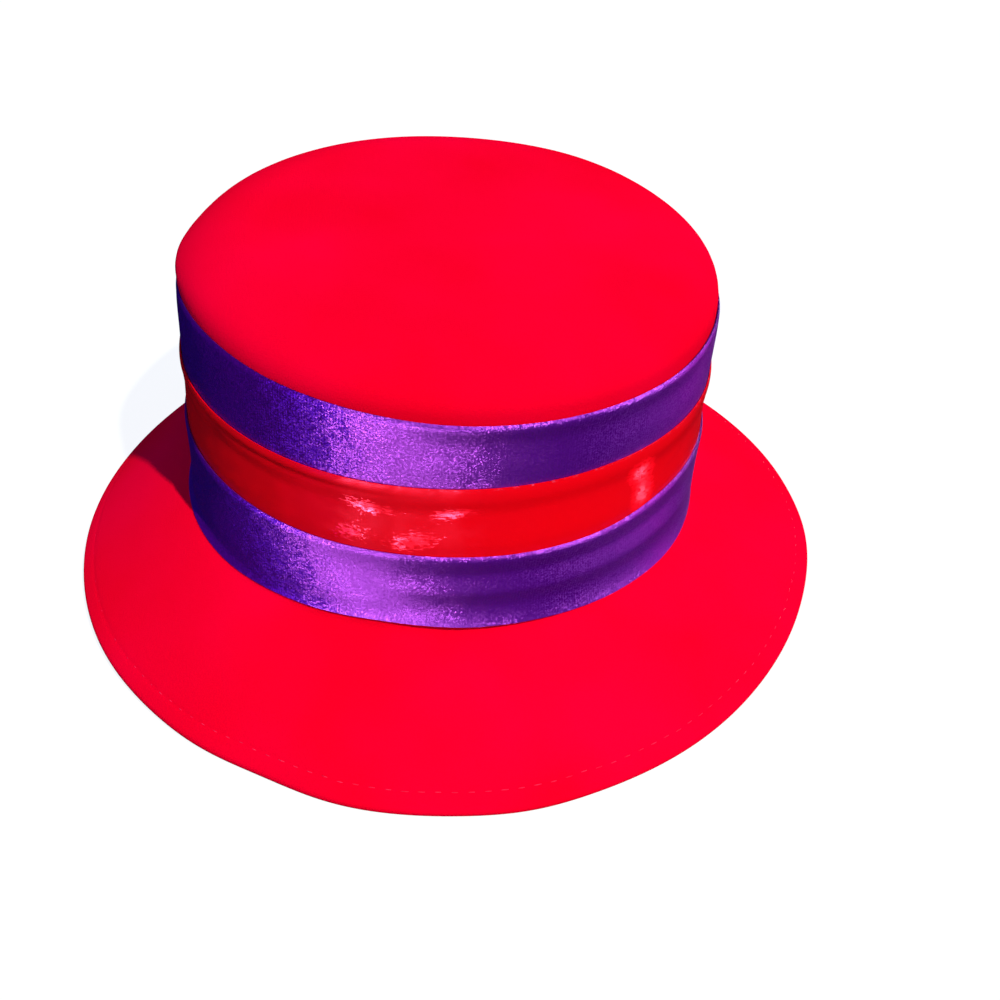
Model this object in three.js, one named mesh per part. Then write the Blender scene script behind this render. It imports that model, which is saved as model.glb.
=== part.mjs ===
// Cloche hat: a felt body blocked in one piece, with a flat-topped crown and a falling brim whose edge is
// turned under, and three satin ribbons of one width laid shingled round the crown wall.
// Millimetres, +Z up. The front of the hat faces -Y, and the middle of the brim's edge is the origin.
import * as THREE from "three";

const { degToRad, clamp } = THREE.MathUtils;

// Driving sizes of the felt body
const HEAD_GIRTH = 580; // inside of the crown at the headline, where crown and brim meet
const HEAD_OVAL = 1.032; // length of the head opening over its width
const FELT = 2; // thickness of the felt
const HEADLINE = 31.7; // height of the headline over the surface that the brim rests on
const CROWN_HEIGHT = 88; // headline to the rim of the crown top
const CROWN_TAPER = 0.037; // how far the wall comes in for each millimetre that it goes up
const CROWN_LEAN = degToRad(2.7); // the crown sits down a little on its +X side
const CROWN_PLACE = new THREE.Vector2(-1.5, 1.1); // middle of the crown from the middle of the brim
const SHOULDER = 10; // radius between crown wall and crown top
const DOME = 2.5; // rise of the crown top at its middle
const BRIM_WIDTH = 275.5; // brim edge to brim edge along X
const BRIM_LENGTH = 289; // brim edge to brim edge along Y
const ROOT = 5; // radius between crown wall and brim
const ROOT_SLOPE = degToRad(24); // fall of the brim where it leaves the crown
const EDGE_SLOPE = degToRad(40); // fall of the brim at its edge
const HEM = 8; // depth of the felt turned under along the brim edge
const FLATTENED = 0.5; // how much the turned edge is pressed flat where it rests

// Driving sizes of the ribbons
const RIBBON_WIDTH = 30;
const SATIN = 1; // thickness of a ribbon
const SEAT = 0.3; // clearance between a ribbon and what it lies on
const RAMP = 2.5; // height over which a ribbon steps out to lie on the one above it

// A row for each ribbon, from the brim up: the height of its lower edge over the headline
const RIBBON_ROWS = [
  { name: "ribbon_lower", lowerEdge: 0, colour: 0x4a0a9e },
  { name: "ribbon_middle", lowerEdge: 24.7, colour: 0xd8001c },
  { name: "ribbon_upper", lowerEdge: 47.8, colour: 0x4a0a9e },
];

// Faceting
const SIDES = 72; // facets round the hat
const TOP_RINGS = 3;
const SHOULDER_STEPS = 4;
const WALL_STEPS = 2;
const ROOT_STEPS = 3;
const BRIM_STEPS = 6;
const EDGE_STEPS = 6;

// Sizes that follow
const innerHalfWidth = HEAD_GIRTH / Math.PI / (1 + HEAD_OVAL);
const halfWidth = innerHalfWidth + FELT; // felt's outside at the headline, along X
const halfLength = innerHalfWidth * HEAD_OVAL + FELT; // the same along Y
const brimReach = BRIM_WIDTH / 2 - halfWidth; // headline to brim edge along X
const brimStretch = (BRIM_LENGTH / 2 - halfLength) / brimReach; // reach along Y over reach along X
const edgeRadius = FELT; // the turned edge is two felts thick

// A section is a pair: out, the distance outwards from the headline's oval, and up, the height over the
// headline. Inside the headline a section keeps its oval, and outside it the oval grows to the brim's.
// What belongs to the crown leans with it and sits at its place, and that fades out along the brim.
const leanAxis = new THREE.Vector3(0, 1, 0);

function pointOnRing({ out, up }, side) {
  const angle = (2 * Math.PI * side) / SIDES;
  const reachX = halfWidth + out;
  const reachY = out > 0 ? halfLength + out * brimStretch : (reachX * halfLength) / halfWidth;
  const follow = clamp((brimReach - out) / (brimReach - ROOT), 0, 1);
  const point = new THREE.Vector3(reachX * Math.cos(angle), reachY * Math.sin(angle), up);
  point.applyAxisAngle(leanAxis, CROWN_LEAN * follow);
  point.add(new THREE.Vector3(CROWN_PLACE.x * follow, CROWN_PLACE.y * follow, HEADLINE));
  point.z = Math.max(point.z, 0);
  return point;
}

// Triangles between each section and the next one round the hat
function bandIndex(sectionCount, bandCount) {
  const index = [];
  for (let row = 0; row < bandCount; row++) {
    const here = row * SIDES;
    const next = ((row + 1) % sectionCount) * SIDES;
    for (let side = 0; side < SIDES; side++) {
      const beside = (side + 1) % SIDES;
      index.push(here + side, next + side, next + beside);
      index.push(here + side, next + beside, here + beside);
    }
  }
  return index;
}

function geometryOf(points, index) {
  const geometry = new THREE.BufferGeometry().setFromPoints(points);
  geometry.setIndex(index);
  geometry.computeVertexNormals();
  return geometry;
}

function ringsThrough(sections) {
  const sides = [...Array(SIDES).keys()];
  return sections.flatMap((section) => sides.map((side) => pointOnRing(section, side)));
}

// A solid ring whose cross-section is the loop of sections
function loopSolid(sections) {
  return geometryOf(ringsThrough(sections), bandIndex(sections.length, sections.length));
}

// A solid shell that starts at a point on the axis, runs through the sections and ends on the axis again
function shellSolid(first, sections, last) {
  const points = ringsThrough(sections);
  const index = bandIndex(sections.length, sections.length - 1);
  const lastRing = points.length - SIDES;
  const firstApex = points.push(pointOnRing(first, 0)) - 1;
  const lastApex = points.push(pointOnRing(last, 0)) - 1;
  for (let side = 0; side < SIDES; side++) {
    const beside = (side + 1) % SIDES;
    index.push(firstApex, side, beside);
    index.push(lastApex, lastRing + beside, lastRing + side);
  }
  return geometryOf(points, index);
}

// One face of the crown, from its top to the end of the root, at a depth under the outer face
function crownApex(depth) {
  return { out: -halfWidth, up: CROWN_HEIGHT + DOME - depth };
}

function crownSections(depth) {
  const wallUp = CROWN_HEIGHT - SHOULDER;
  const topOut = -CROWN_TAPER * wallUp - SHOULDER;
  const sections = [];
  for (let i = 1; i <= TOP_RINGS; i++) {
    const share = i / TOP_RINGS;
    const out = -halfWidth + (halfWidth + topOut) * share;
    sections.push({ out, up: CROWN_HEIGHT + DOME * (1 - share * share) - depth });
  }
  const shoulder = SHOULDER - depth;
  for (let i = 1; i <= SHOULDER_STEPS; i++) {
    const angle = (Math.PI / 2) * (1 - i / SHOULDER_STEPS);
    sections.push({ out: topOut + shoulder * Math.cos(angle), up: wallUp + shoulder * Math.sin(angle) });
  }
  for (let i = 1; i <= WALL_STEPS; i++) {
    const up = wallUp * (1 - i / WALL_STEPS);
    sections.push({ out: -CROWN_TAPER * up - depth, up });
  }
  const root = ROOT + depth;
  for (let i = 1; i <= ROOT_STEPS; i++) {
    const angle = (Math.PI / 2 - ROOT_SLOPE) * (i / ROOT_STEPS);
    sections.push({ out: ROOT - root * Math.cos(angle), up: -root * Math.sin(angle) });
  }
  return sections;
}

// The brim's upper face: one curve from the root to the turned edge, steeper towards the edge
function brimCurve() {
  const root = crownSections(0).at(-1);
  const edge = {
    out: brimReach - edgeRadius + edgeRadius * Math.sin(EDGE_SLOPE),
    up: edgeRadius - FLATTENED - HEADLINE + edgeRadius * Math.cos(EDGE_SLOPE),
  };
  const rootFall = Math.tan(ROOT_SLOPE);
  const edgeFall = Math.tan(EDGE_SLOPE);
  const bendOut = (root.up - edge.up + rootFall * root.out - edgeFall * edge.out) / (rootFall - edgeFall);
  const bendUp = root.up - rootFall * (bendOut - root.out);
  return new THREE.QuadraticBezierCurve(
    new THREE.Vector2(root.out, root.up),
    new THREE.Vector2(bendOut, bendUp),
    new THREE.Vector2(edge.out, edge.up),
  );
}

// A section of the brim at a share of the curve's length, at a depth under the upper face
function brimSection(curve, share, depth) {
  const point = curve.getPointAt(share);
  const along = curve.getTangentAt(share);
  return { out: point.x + depth * along.y, up: point.y - depth * along.x };
}

// The felt body: outer face, turned edge, hem turned under, inner face
function feltGeometry() {
  const curve = brimCurve();
  const hemStart = 1 - HEM / curve.getLength();
  const sections = crownSections(0);
  for (let i = 1; i <= BRIM_STEPS; i++) sections.push(brimSection(curve, i / BRIM_STEPS, 0));
  const edgeMiddle = brimSection(curve, 1, edgeRadius);
  for (let i = 1; i < EDGE_STEPS; i++) {
    const angle = Math.PI / 2 - EDGE_SLOPE - (Math.PI * i) / EDGE_STEPS;
    sections.push({
      out: edgeMiddle.out + edgeRadius * Math.cos(angle),
      up: edgeMiddle.up + edgeRadius * Math.sin(angle),
    });
  }
  sections.push(brimSection(curve, 1, 2 * FELT));
  sections.push(brimSection(curve, hemStart, 2 * FELT));
  sections.push(brimSection(curve, hemStart, FELT));
  for (let i = BRIM_STEPS - 1; i > 0; i--) {
    const share = i / BRIM_STEPS;
    if (share < hemStart) sections.push(brimSection(curve, share, FELT));
  }
  sections.push(...crownSections(FELT).reverse());
  return shellSolid(crownApex(0), sections, crownApex(FELT));
}

// A ribbon lies on the crown wall, and steps out where it laps over the lower edge of the ribbon above
function ribbonGeometry(lowerEdge, edgeAbove) {
  const upperEdge = lowerEdge + RIBBON_WIDTH;
  const lift = SATIN + SEAT;
  const rows = [{ up: lowerEdge, rise: 0 }];
  if (edgeAbove !== undefined) {
    rows.push({ up: edgeAbove - SEAT - RAMP, rise: 0 });
    rows.push({ up: edgeAbove - SEAT, rise: lift });
  }
  rows.push({ up: upperEdge, rise: edgeAbove === undefined ? 0 : lift });
  const face = (depth) => rows.map(({ up, rise }) => ({ out: SEAT + rise + depth - CROWN_TAPER * up, up }));
  return loopSolid([...face(SATIN).reverse(), ...face(0)]);
}

const hat = new THREE.Group();

const felt = new THREE.Mesh(
  feltGeometry(),
  new THREE.MeshStandardMaterial({ color: 0xe4002b, roughness: 0.95, metalness: 0 }),
);
felt.name = "felt_body";
hat.add(felt);

RIBBON_ROWS.forEach(({ name, lowerEdge, colour }, i) => {
  const ribbon = new THREE.Mesh(
    ribbonGeometry(lowerEdge, RIBBON_ROWS[i + 1]?.lowerEdge),
    new THREE.MeshStandardMaterial({ color: colour, roughness: 0.35, metalness: 0 }),
  );
  ribbon.name = name;
  hat.add(ribbon);
});

export default hat;
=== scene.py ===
"""Dresses the cloche hat: the felt body, three satin ribbons shingled round the crown, and the stitches.

Metres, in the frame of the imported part: +Z is up, the front faces -Y, and the brim rests on z = 0.
A bearing is an angle in degrees round the hat, 0 at the front and growing towards +X.
"""

from __future__ import annotations

import logging
import math
from collections.abc import Iterator
from contextlib import contextmanager
from dataclasses import dataclass, replace
from enum import Enum
from functools import cached_property
from typing import NamedTuple

import bpy
import numpy as np
from mathutils import Matrix, Vector


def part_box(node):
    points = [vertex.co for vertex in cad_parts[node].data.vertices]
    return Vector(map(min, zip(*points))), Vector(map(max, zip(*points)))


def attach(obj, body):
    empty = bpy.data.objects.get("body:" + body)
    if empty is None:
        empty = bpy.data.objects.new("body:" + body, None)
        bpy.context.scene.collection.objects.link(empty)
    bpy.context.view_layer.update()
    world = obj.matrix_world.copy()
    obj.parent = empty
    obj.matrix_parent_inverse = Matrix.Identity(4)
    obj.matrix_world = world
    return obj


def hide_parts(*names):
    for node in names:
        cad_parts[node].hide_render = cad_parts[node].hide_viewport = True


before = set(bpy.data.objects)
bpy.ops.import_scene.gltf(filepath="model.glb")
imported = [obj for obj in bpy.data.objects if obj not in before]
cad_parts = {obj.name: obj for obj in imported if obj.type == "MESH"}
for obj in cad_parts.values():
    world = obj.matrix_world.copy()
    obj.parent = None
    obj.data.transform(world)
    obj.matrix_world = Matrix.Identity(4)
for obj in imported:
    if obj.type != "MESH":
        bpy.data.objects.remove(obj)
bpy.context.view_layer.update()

MM = 0.001
BODY = "root"
UV_NAME = "UVMap"
TURNED_EDGE = "turned_edge"
CRUMPLE = "crumple"
RIBBON_WIDTH = 30.0 * MM
FRONT_ANGLE = -90.0  # degrees from +X to the front of the hat
NOISE_RANGE = (0.3, 0.7)  # where soft noise has most of its values

log = logging.getLogger("cloche_hat")

Colour = tuple[float, float, float, float]
Socket = bpy.types.NodeSocket
Sockets = bpy.types.bpy_prop_collection
Source = Socket | float | tuple


class Node(Enum):
    """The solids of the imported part."""

    FELT = "felt_body"
    LOWER = "ribbon_lower"
    MIDDLE = "ribbon_middle"
    UPPER = "ribbon_upper"


class Slot(Enum):
    """The record's material slots."""

    FELT = "felt_red"
    PURPLE = "satin_purple"
    RED = "satin_red"


class Sway(NamedTuple):
    """One soft wave round the hat."""

    waves: int
    phase: float
    height: float


class Reach(NamedTuple):
    """A stretch of the brim's edge that stands out or up by so much."""

    bearing: float
    spread: float
    by: float


class Swell(NamedTuple):
    """A place on the crown, with its spread round the hat and up the wall, that stands out or in."""

    bearing: float
    spread: float
    up: float
    rise: float
    out: float


class Knot(NamedTuple):
    """A value at one place of a smooth curve."""

    at: float
    value: float


class Span(NamedTuple):
    """Bearings between which a ribbon takes its folded cross-section, with a run in and out."""

    begin: float
    full: float
    full_end: float
    end: float


class Ripple(NamedTuple):
    """A soft patch of a ribbon, raised or crumpled: its place, its spread, its slant and its height."""

    bearing: float
    length: float
    share: float
    breadth: float
    slant: float
    height: float


def smooth_step(low: float, high: float, value: np.ndarray) -> np.ndarray:
    """Rises smoothly from 0 at low to 1 at high."""
    share = np.clip((value - low) / (high - low), 0.0, 1.0)
    return share * share * (3.0 - 2.0 * share)


def knots(*pairs: tuple[float, float]) -> tuple[Knot, ...]:
    """Knots from pairs of a place and a value in millimetres."""
    return tuple(Knot(at, value * MM) for at, value in pairs)


def smooth_through(curve: tuple[Knot, ...], places: np.ndarray) -> np.ndarray:
    """A smooth curve through its knots.

    Args:
        curve: The knots, in rising order.
        places: Where to read the curve.

    Returns:
        The value at each place.
    """
    at = np.array([knot.at for knot in curve])
    value = np.array([knot.value for knot in curve])
    slope = np.gradient(value, at)
    low = np.clip(np.searchsorted(at, places, side="right") - 1, 0, len(at) - 2)
    gap = at[low + 1] - at[low]
    t = (places - at[low]) / gap
    start = value[low] * (1 + 2 * t) * (1 - t) ** 2 + slope[low] * gap * t * (1 - t) ** 2
    finish = value[low + 1] * t**2 * (3 - 2 * t) + slope[low + 1] * gap * t**2 * (t - 1)
    return start + finish


def bearing_of(angle: np.ndarray) -> np.ndarray:
    """Bearings from -180 to 180 of angles in radians from +X."""
    return (np.degrees(angle) - FRONT_ANGLE + 180.0) % 360.0 - 180.0


def hump(bearing: np.ndarray, centre: np.ndarray | float, spread: float) -> np.ndarray:
    """A soft hump round the hat, 1 at its centre."""
    turn = (bearing - centre + 180.0) % 360.0 - 180.0
    return np.exp(-((turn / spread) ** 2))


def swelling(swells: tuple[Swell, ...], bearing: np.ndarray, up: np.ndarray) -> np.ndarray:
    """How far out the swells stand at these bearings and heights over the headline."""
    total = np.zeros_like(bearing)
    for swell in swells:
        upright = np.exp(-(((up - swell.up) / swell.rise) ** 2))
        total += swell.out * hump(bearing, swell.bearing, swell.spread) * upright
    return total


def swaying(sways: tuple[Sway, ...], angle: np.ndarray) -> np.ndarray:
    """The height of the soft waves at these angles."""
    return sum(sway.height * np.cos(sway.waves * angle + sway.phase) for sway in sways)


def edging(reaches: tuple[Reach, ...], bearing: np.ndarray) -> np.ndarray:
    """How far stretches of the brim's edge stand out or up at these bearings."""
    return sum(reach.by * hump(bearing, reach.bearing, reach.spread) for reach in reaches)


def rippling(ripples: tuple[Ripple, ...], share: np.ndarray, bearing: np.ndarray) -> np.ndarray:
    """The height of the ripples at these shares of a ribbon's width and bearings."""
    total = np.zeros_like(share)
    for ripple in ripples:
        centre = ripple.bearing + ripple.slant * (share - ripple.share)
        across = np.exp(-(((share - ripple.share) / ripple.breadth) ** 2))
        total += ripple.height * across * hump(bearing, centre, ripple.length)
    return total


@dataclass(frozen=True)
class HatBlock:
    """The form that every piece of the hat is laid on.

    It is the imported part's form with a softer shoulder, soft waves and an edge that is not quite round.
    A place is given by out, the distance outwards from the headline's oval, up, the height over the
    headline, and the angle round the hat.
    """

    brim_width: float
    brim_length: float
    head_girth: float = 0.580
    head_oval: float = 1.032
    felt: float = 0.002
    headline: float = 0.0317
    crown_height: float = 0.0926
    crown_taper: float = 0.037
    crown_lean: float = math.radians(2.7)
    crown_place: tuple[float, float] = (-0.0015, 0.0011)
    shoulder: float = 0.0145
    shoulder_reach: float = 0.025
    dome: float = 0.0012
    root: float = 0.005
    root_slope: float = math.radians(24.0)
    edge_slope: float = math.radians(40.0)
    hem: float = 0.008
    stitch_from_edge: float = 0.0048
    flattened: float = 0.0005
    edge_zone: float = 0.3
    curl_zone: float = 0.5
    line_points: int = 401
    crown_sways: tuple[Sway, ...] = (
        Sway(3, 0.4, 0.22 * MM),
        Sway(5, 2.1, 0.14 * MM),
        Sway(8, 4.0, 0.06 * MM),
    )
    brim_sways: tuple[Sway, ...] = (
        Sway(2, 1.1, 0.35 * MM),
        Sway(5, 0.3, 0.25 * MM),
        Sway(7, 2.6, 0.15 * MM),
    )
    brim_reaches: tuple[Reach, ...] = (
        Reach(-42.0, 14.0, -0.9 * MM),
        Reach(-26.0, 9.0, -2.0 * MM),
        Reach(10.0, 8.0, 0.9 * MM),
        Reach(54.0, 16.0, -0.6 * MM),
        Reach(83.0, 10.0, 1.0 * MM),
        Reach(114.0, 14.0, -1.3 * MM),
        Reach(138.0, 20.0, -4.8 * MM),
        Reach(-104.0, 22.0, -0.9 * MM),
        Reach(-60.0, 14.0, 0.5 * MM),
    )
    brim_curls: tuple[Reach, ...] = (Reach(-78.0, 30.0, 3.2 * MM),)
    crown_swells: tuple[Swell, ...] = (
        Swell(-125.0, 30.0, 86.0 * MM, 14.0 * MM, 0.4 * MM),
        Swell(-105.0, 30.0, 15.0 * MM, 28.0 * MM, -1.6 * MM),
        Swell(-100.0, 20.0, 21.0 * MM, 9.0 * MM, 1.3 * MM),
        Swell(105.0, 28.0, 80.0 * MM, 14.0 * MM, 0.9 * MM),
        Swell(105.0, 30.0, 42.0 * MM, 13.0 * MM, -1.3 * MM),
        Swell(105.0, 30.0, 8.0 * MM, 16.0 * MM, -1.0 * MM),
        Swell(145.0, 24.0, 86.0 * MM, 14.0 * MM, 1.8 * MM),
    )

    @classmethod
    def from_frame(cls) -> HatBlock:
        """The block with the brim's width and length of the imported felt."""
        low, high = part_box(Node.FELT.value)
        return cls(brim_width=high.x - low.x, brim_length=high.y - low.y)

    @cached_property
    def half_width(self) -> float:
        """Outside of the felt at the headline, along X."""
        return self.head_girth / math.pi / (1 + self.head_oval) + self.felt

    @cached_property
    def half_length(self) -> float:
        """Outside of the felt at the headline, along Y."""
        return (self.half_width - self.felt) * self.head_oval + self.felt

    @cached_property
    def brim_reach(self) -> float:
        """Headline to brim edge along X."""
        return self.brim_width / 2 - self.half_width

    @cached_property
    def brim_stretch(self) -> float:
        """The brim's reach along Y over its reach along X."""
        return (self.brim_length / 2 - self.half_length) / self.brim_reach

    @cached_property
    def wall_up(self) -> float:
        """Height of the wall under the shoulder."""
        return self.crown_height - self.shoulder

    @cached_property
    def root_end(self) -> tuple[float, float]:
        """Where the root passes into the brim's upper face."""
        turn = math.pi / 2 - self.root_slope
        return self.root * (1 - math.cos(turn)), -self.root * math.sin(turn)

    @cached_property
    def brim_line(self) -> np.ndarray:
        """The brim's upper face in section.

        Returns:
            Rows of length from the root, out, up and the two parts of the direction.
        """
        edge_out = self.brim_reach - self.felt + self.felt * math.sin(self.edge_slope)
        edge_up = self.felt - self.flattened - self.headline + self.felt * math.cos(self.edge_slope)
        root_fall, edge_fall = math.tan(self.root_slope), math.tan(self.edge_slope)
        root_out, root_up = self.root_end
        intercept_gap = root_up - edge_up + root_fall * root_out - edge_fall * edge_out
        bend_out = intercept_gap / (root_fall - edge_fall)
        bend_up = root_up - root_fall * (bend_out - root_out)
        start, bend, end = np.array([(root_out, root_up), (bend_out, bend_up), (edge_out, edge_up)])
        t = np.linspace(0.0, 1.0, self.line_points)[:, None]
        points = start * (1 - t) ** 2 + bend * 2 * t * (1 - t) + end * t**2
        along = 2 * (bend - start) * (1 - t) + 2 * (end - bend) * t
        along /= np.linalg.norm(along, axis=1, keepdims=True)
        steps = np.linalg.norm(np.diff(points, axis=0), axis=1)
        length = np.concatenate([[0.0], np.cumsum(steps)])
        return np.column_stack([length, points, along])

    @cached_property
    def brim_depth(self) -> float:
        """Length of the brim's upper face from root to edge."""
        return float(self.brim_line[-1, 0])

    @cached_property
    def stitch_run(self) -> float:
        """Length of the brim's upper face from root to stitches."""
        return self.brim_depth - self.stitch_from_edge

    def off_middle(self, out: np.ndarray) -> np.ndarray:
        """Rises from 0 at the middle of the crown's top to 1 half way out."""
        return smooth_step(-self.half_width, -self.half_width / 2, out)

    def wall_out(self, up: np.ndarray) -> np.ndarray:
        """How far out the felt's outer face is at heights on the wall, or on the root under it."""
        dip = np.clip(-up, 0.0, self.root)
        return np.where(up < 0, self.root - np.sqrt(self.root**2 - dip**2), -self.crown_taper * up)

    def brim_section(self, run: np.ndarray, depth: np.ndarray | float) -> tuple[np.ndarray, np.ndarray]:
        """A place on the brim.

        Args:
            run: Distance from the root along the upper face.
            depth: Distance under the upper face.

        Returns:
            The place's out and up.
        """
        length, out, up, along_out, along_up = self.brim_line.T
        place_out = np.interp(run, length, out) + depth * np.interp(run, length, along_up)
        place_up = np.interp(run, length, up) - depth * np.interp(run, length, along_out)
        return place_out, place_up

    def settle(self, out: np.ndarray, up: np.ndarray, angle: np.ndarray) -> np.ndarray:
        """Places on the hat as points, with the crown's lean and the felt's soft waves.

        Args:
            out: Distance outwards from the headline's oval.
            up: Height over the headline.
            angle: Angle round the hat from +X.

        Returns:
            One point a row.
        """
        on_brim = np.clip(out / self.brim_reach, 0.0, 1.0)
        near_edge = smooth_step(self.edge_zone, 1.0, on_brim)
        curled = np.clip((on_brim - self.curl_zone) / (1 - self.curl_zone), 0.0, 1.0) ** 2
        on_wall = self.off_middle(out) * (1 - on_brim)
        bearing = bearing_of(angle)
        swell = (swaying(self.crown_sways, angle) + swelling(self.crown_swells, bearing, up)) * on_wall
        swell = swell + near_edge * edging(self.brim_reaches, bearing)
        lift = swaying(self.brim_sways, angle) * np.sin(math.pi * on_brim) ** 2
        lift = lift + curled * edging(self.brim_curls, bearing)

        reach_x = self.half_width + out
        outer = self.half_length + out * self.brim_stretch
        reach_y = np.where(out > 0, outer, reach_x * self.half_length / self.half_width)
        follow = np.clip((self.brim_reach - out) / (self.brim_reach - self.root), 0.0, 1.0)
        lean = self.crown_lean * follow
        x = (reach_x + swell) * np.cos(angle)
        y = (reach_y + swell) * np.sin(angle) + self.crown_place[1] * follow
        z = up + lift
        leant_x = x * np.cos(lean) + z * np.sin(lean) + self.crown_place[0] * follow
        leant_z = -x * np.sin(lean) + z * np.cos(lean) + self.headline
        return np.column_stack([leant_x, y, np.maximum(leant_z, 0.0)])


@contextmanager
def edit_mode() -> Iterator[None]:
    """Edit mode on the active object, with all of it selected."""
    bpy.ops.object.mode_set(mode="EDIT")
    bpy.ops.mesh.select_all(action="SELECT")
    yield
    bpy.ops.object.mode_set(mode="OBJECT")


def start_piece() -> None:
    """Leaves nothing selected, so that the next operator acts on its own primitive alone."""
    bpy.ops.object.select_all(action="DESELECT")


def coordinates(piece: bpy.types.Object) -> np.ndarray:
    """The places of a mesh's vertices, one a row."""
    points = np.empty(len(piece.data.vertices) * 3)
    piece.data.vertices.foreach_get("co", points)
    return points.reshape(-1, 3)


def move_vertices(piece: bpy.types.Object, points: np.ndarray) -> None:
    """Puts a mesh's vertices at these places."""
    piece.data.vertices.foreach_set("co", points.astype(np.float32).ravel())
    piece.data.update()


def mark_vertices(piece: bpy.types.Object, name: str, values: np.ndarray) -> None:
    """Stores one value a vertex under this name, for the shader to read."""
    layer = piece.data.attributes.new(name, "FLOAT", "POINT")
    layer.data.foreach_set("value", values.astype(np.float32))


def hand_over(
    piece: bpy.types.Object, node: Node | None, material: bpy.types.Material
) -> None:
    """Dresses a finished piece and enters it in the frame.

    Args:
        piece: The piece, at the origin.
        node: The solid that it stands for, if it stands for one.
        material: Its finish.
    """
    piece.data.materials.clear()
    piece.data.materials.append(material)
    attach(piece, BODY)
    if node is not None:
        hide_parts(node.value)
    triangles = sum(len(face.vertices) - 2 for face in piece.data.polygons)
    log.info("%s: %d vertices, %d triangles", piece.name, len(piece.data.vertices), triangles)


def set_sockets(node: bpy.types.Node, values: dict[str, float | Colour]) -> None:
    """Sets a node's sockets to plain values."""
    for name, value in values.items():
        node.inputs[name].default_value = value


class NodeBench:
    """Adds nodes to one shader tree and joins them."""

    def __init__(self, tree: bpy.types.NodeTree) -> None:
        """Works on this tree."""
        self.tree = tree

    def add(self, kind: str, **settings: object) -> bpy.types.Node:
        """A new node with these settings."""
        node = self.tree.nodes.new(kind)
        for name, value in settings.items():
            setattr(node, name, value)
        return node

    def join(self, target: Socket, source: Source) -> None:
        """Feeds a socket from another socket, or sets it to a value."""
        if isinstance(source, Socket):
            self.tree.links.new(source, target)
        else:
            target.default_value = source

    def fed(self, kind: str, *values: Source, **settings: object) -> bpy.types.Node:
        """A new node with these settings, whose first sockets take these values."""
        node = self.add(kind, **settings)
        for socket, value in zip(node.inputs, values):
            self.join(socket, value)
        return node

    def math(self, operation: str, *values: Source) -> Socket:
        """The result of a Math node."""
        return self.fed("ShaderNodeMath", *values, operation=operation).outputs[0]

    def vector_math(self, operation: str, *values: Source) -> Socket:
        """The vector that a Vector Math node gives."""
        return self.fed("ShaderNodeVectorMath", *values, operation=operation).outputs["Vector"]

    def scaled(self, vector: Source, factor: Source) -> Socket:
        """A vector made longer or shorter."""
        node = self.fed("ShaderNodeVectorMath", vector, operation="SCALE")
        self.join(node.inputs["Scale"], factor)
        return node.outputs["Vector"]

    def combined(self, x: Source, y: Source, z: Source) -> Socket:
        """A vector from its three parts."""
        return self.fed("ShaderNodeCombineXYZ", x, y, z).outputs["Vector"]

    def parted(self, vector: Source) -> Sockets:
        """The three parts of a vector."""
        return self.fed("ShaderNodeSeparateXYZ", vector).outputs

    def noise(self, vector: Source, scale: Source, detail: float, roughness: float = 0.5) -> Socket:
        """Soft noise between about 0.25 and 0.75."""
        node = self.add("ShaderNodeTexNoise")
        values = {"Vector": vector, "Scale": scale, "Detail": detail, "Roughness": roughness}
        for name, value in values.items():
            self.join(node.inputs[name], value)
        return node.outputs["Fac"]

    def cells(self, vector: Source) -> Socket:
        """A value from 0 to 1 for each cell of an uneven pattern, one cell to each unit."""
        node = self.add("ShaderNodeTexVoronoi")
        self.join(node.inputs["Vector"], vector)
        self.join(node.inputs["Scale"], 1.0)
        return self.parted(node.outputs["Color"])["X"]

    def attribute(self, name: str) -> Socket:
        """A value that the mesh carries under this name."""
        return self.add("ShaderNodeAttribute", attribute_name=name).outputs["Fac"]

    def along_cloth(self) -> Socket:
        """The direction along the cloth's map."""
        return self.add("ShaderNodeTangent", direction_type="UV_MAP", uv_map=UV_NAME).outputs["Tangent"]

    def mixed(self, factor: Source, first: Source, second: Source) -> Socket:
        """A colour between two colours."""
        node = self.add("ShaderNodeMix", data_type="RGBA")
        self.join(node.inputs["Factor"], factor)
        self.join(node.inputs["A"], first)
        self.join(node.inputs["B"], second)
        return node.outputs["Result"]

    def spread(
        self, value: Source, low: float, high: float, to_low: Source = 0.0, to_high: Source = 1.0
    ) -> Socket:
        """A value carried from one range to another, and held at its ends."""
        node = self.add("ShaderNodeMapRange")
        names = ("Value", "From Min", "From Max", "To Min", "To Max")
        for name, source in zip(names, (value, low, high, to_low, to_high)):
            self.join(node.inputs[name], source)
        return node.outputs["Result"]

    def camera_ray(self) -> Socket:
        """1 where the camera looks straight at the surface, 0 for light that bounces."""
        return self.add("ShaderNodeLightPath").outputs["Is Camera Ray"]


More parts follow.
